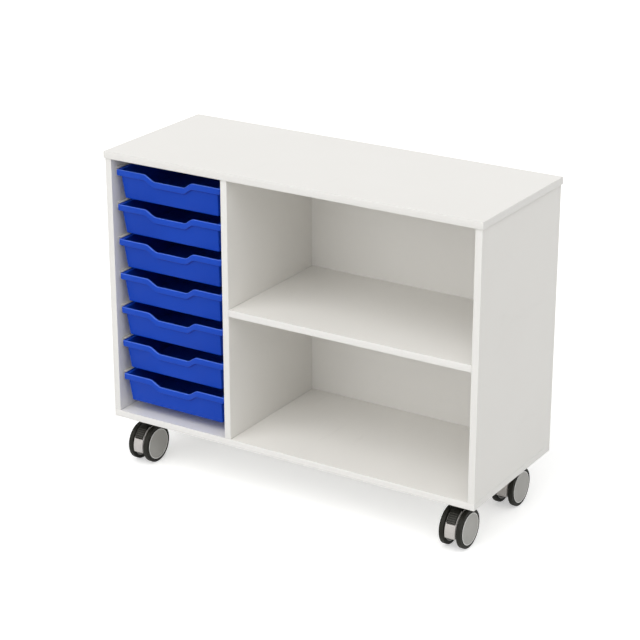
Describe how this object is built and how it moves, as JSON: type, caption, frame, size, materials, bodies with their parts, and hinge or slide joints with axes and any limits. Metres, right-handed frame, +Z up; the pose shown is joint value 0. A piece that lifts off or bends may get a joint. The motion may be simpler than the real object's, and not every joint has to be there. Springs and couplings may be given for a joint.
{
  "type": "mobile tray storage unit",
  "caption": "Low white classroom cabinet on braked twin-wheel castors, with a bay of shallow blue pull-out trays beside two open shelf bays.",
  "frame": {"origin": "on the floor under the middle of the carcass", "axes": "+X to the right along the width, +Y to the back, +Z up; the open front and the trays face -Y"},
  "size_m": [1.056, 0.406, 0.8397],
  "materials": {
    "white_board": "white melamine-faced board with matching edging",
    "blue_tray": "satin moulded polypropylene",
    "pale_runner": "pale moulded plastic",
    "black_tyre": "soft black tread",
    "grey_disc": "grey moulded plastic",
    "grey_hood": "light grey moulded plastic",
    "black_pedal": "black moulded plastic",
    "steel": "zinc-plated steel"
  },
  "bodies": {
    "carcass": {"top_panel": "white_board", "base_panel": "white_board", "left_end_panel": "white_board", "right_end_panel": "white_board", "back_panel": "white_board", "centre_divider": "white_board", "shelf": "white_board", "runner_left_1": "pale_runner", "runner_right_1": "pale_runner", "runner_left_2": "pale_runner", "runner_right_2": "pale_runner", "runner_left_3": "pale_runner", "runner_right_3": "pale_runner", "runner_left_4": "pale_runner", "runner_right_4": "pale_runner", "runner_left_5": "pale_runner", "runner_right_5": "pale_runner", "runner_left_6": "pale_runner", "runner_right_6": "pale_runner", "runner_left_7": "pale_runner", "runner_right_7": "pale_runner", "front_left_castor_plate": "steel", "front_right_castor_plate": "steel", "rear_left_castor_plate": "steel", "rear_right_castor_plate": "steel"},
    "tray_1": {"tray_1": "blue_tray"},
    "tray_2": {"tray_2": "blue_tray"},
    "tray_3": {"tray_3": "blue_tray"},
    "tray_4": {"tray_4": "blue_tray"},
    "tray_5": {"tray_5": "blue_tray"},
    "tray_6": {"tray_6": "blue_tray"},
    "tray_7": {"tray_7": "blue_tray"},
    "front_left_fork": {"front_left_castor_hood": "grey_hood", "front_left_castor_axle": "steel", "front_left_castor_pedal_pin": "steel"},
    "front_left_left_wheel": {"front_left_castor_left_hub": "grey_disc", "front_left_castor_left_tyre": "black_tyre"},
    "front_left_right_wheel": {"front_left_castor_right_hub": "grey_disc", "front_left_castor_right_tyre": "black_tyre"},
    "front_left_pedal": {"front_left_castor_pedal": "black_pedal"},
    "front_right_fork": {"front_right_castor_hood": "grey_hood", "front_right_castor_axle": "steel", "front_right_castor_pedal_pin": "steel"},
    "front_right_left_wheel": {"front_right_castor_left_hub": "grey_disc", "front_right_castor_left_tyre": "black_tyre"},
    "front_right_right_wheel": {"front_right_castor_right_hub": "grey_disc", "front_right_castor_right_tyre": "black_tyre"},
    "front_right_pedal": {"front_right_castor_pedal": "black_pedal"},
    "rear_left_fork": {"rear_left_castor_hood": "grey_hood", "rear_left_castor_axle": "steel"},
    "rear_left_left_wheel": {"rear_left_castor_left_hub": "grey_disc", "rear_left_castor_left_tyre": "black_tyre"},
    "rear_left_right_wheel": {"rear_left_castor_right_hub": "grey_disc", "rear_left_castor_right_tyre": "black_tyre"},
    "rear_right_fork": {"rear_right_castor_hood": "grey_hood", "rear_right_castor_axle": "steel"},
    "rear_right_left_wheel": {"rear_right_castor_left_hub": "grey_disc", "rear_right_castor_left_tyre": "black_tyre"},
    "rear_right_right_wheel": {"rear_right_castor_right_hub": "grey_disc", "rear_right_castor_right_tyre": "black_tyre"}
  },
  "joints": [
    {"name": "tray_1_slide", "type": "slide", "parent": "carcass", "child": "tray_1", "axis": [0, -1, 0], "range_m": [0, 0.3]},
    {"name": "tray_2_slide", "type": "slide", "parent": "carcass", "child": "tray_2", "axis": [0, -1, 0], "range_m": [0, 0.3]},
    {"name": "tray_3_slide", "type": "slide", "parent": "carcass", "child": "tray_3", "axis": [0, -1, 0], "range_m": [0, 0.3]},
    {"name": "tray_4_slide", "type": "slide", "parent": "carcass", "child": "tray_4", "axis": [0, -1, 0], "range_m": [0, 0.3]},
    {"name": "tray_5_slide", "type": "slide", "parent": "carcass", "child": "tray_5", "axis": [0, -1, 0], "range_m": [0, 0.3]},
    {"name": "tray_6_slide", "type": "slide", "parent": "carcass", "child": "tray_6", "axis": [0, -1, 0], "range_m": [0, 0.3]},
    {"name": "tray_7_slide", "type": "slide", "parent": "carcass", "child": "tray_7", "axis": [0, -1, 0], "range_m": [0, 0.3]},
    {"name": "front_left_swivel", "type": "hinge", "parent": "carcass", "child": "front_left_fork", "pos_m": [-0.459, -0.1345, 0.12468], "axis": [0, 0, 1], "continuous": true},
    {"name": "front_left_left_wheel_spin", "type": "hinge", "parent": "front_left_fork", "child": "front_left_left_wheel", "pos_m": [-0.459, -0.1465, 0.04938], "axis": [1, 0, 0], "continuous": true},
    {"name": "front_left_right_wheel_spin", "type": "hinge", "parent": "front_left_fork", "child": "front_left_right_wheel", "pos_m": [-0.459, -0.1465, 0.04938], "axis": [1, 0, 0], "continuous": true},
    {"name": "front_left_pedal_press", "type": "hinge", "parent": "front_left_fork", "child": "front_left_pedal", "pos_m": [-0.459, -0.16419, 0.08912], "axis": [1, 0, 0], "range_deg": [0, 8]},
    {"name": "front_right_swivel", "type": "hinge", "parent": "carcass", "child": "front_right_fork", "pos_m": [0.459, -0.1345, 0.12468], "axis": [0, 0, 1], "continuous": true},
    {"name": "front_right_left_wheel_spin", "type": "hinge", "parent": "front_right_fork", "child": "front_right_left_wheel", "pos_m": [0.459, -0.1465, 0.04938], "axis": [1, 0, 0], "continuous": true},
    {"name": "front_right_right_wheel_spin", "type": "hinge", "parent": "front_right_fork", "child": "front_right_right_wheel", "pos_m": [0.459, -0.1465, 0.04938], "axis": [1, 0, 0], "continuous": true},
    {"name": "front_right_pedal_press", "type": "hinge", "parent": "front_right_fork", "child": "front_right_pedal", "pos_m": [0.459, -0.16419, 0.08912], "axis": [1, 0, 0], "range_deg": [0, 8]},
    {"name": "rear_left_swivel", "type": "hinge", "parent": "carcass", "child": "rear_left_fork", "pos_m": [-0.459, 0.1345, 0.12468], "axis": [0, 0, 1], "continuous": true},
    {"name": "rear_left_left_wheel_spin", "type": "hinge", "parent": "rear_left_fork", "child": "rear_left_left_wheel", "pos_m": [-0.459, 0.1225, 0.04938], "axis": [1, 0, 0], "continuous": true},
    {"name": "rear_left_right_wheel_spin", "type": "hinge", "parent": "rear_left_fork", "child": "rear_left_right_wheel", "pos_m": [-0.459, 0.1225, 0.04938], "axis": [1, 0, 0], "continuous": true},
    {"name": "rear_right_swivel", "type": "hinge", "parent": "carcass", "child": "rear_right_fork", "pos_m": [0.459, 0.1345, 0.12468], "axis": [0, 0, 1], "continuous": true},
    {"name": "rear_right_left_wheel_spin", "type": "hinge", "parent": "rear_right_fork", "child": "rear_right_left_wheel", "pos_m": [0.459, 0.1225, 0.04938], "axis": [1, 0, 0], "continuous": true},
    {"name": "rear_right_right_wheel_spin", "type": "hinge", "parent": "rear_right_fork", "child": "rear_right_right_wheel", "pos_m": [0.459, 0.1225, 0.04938], "axis": [1, 0, 0], "continuous": true}
  ]
}
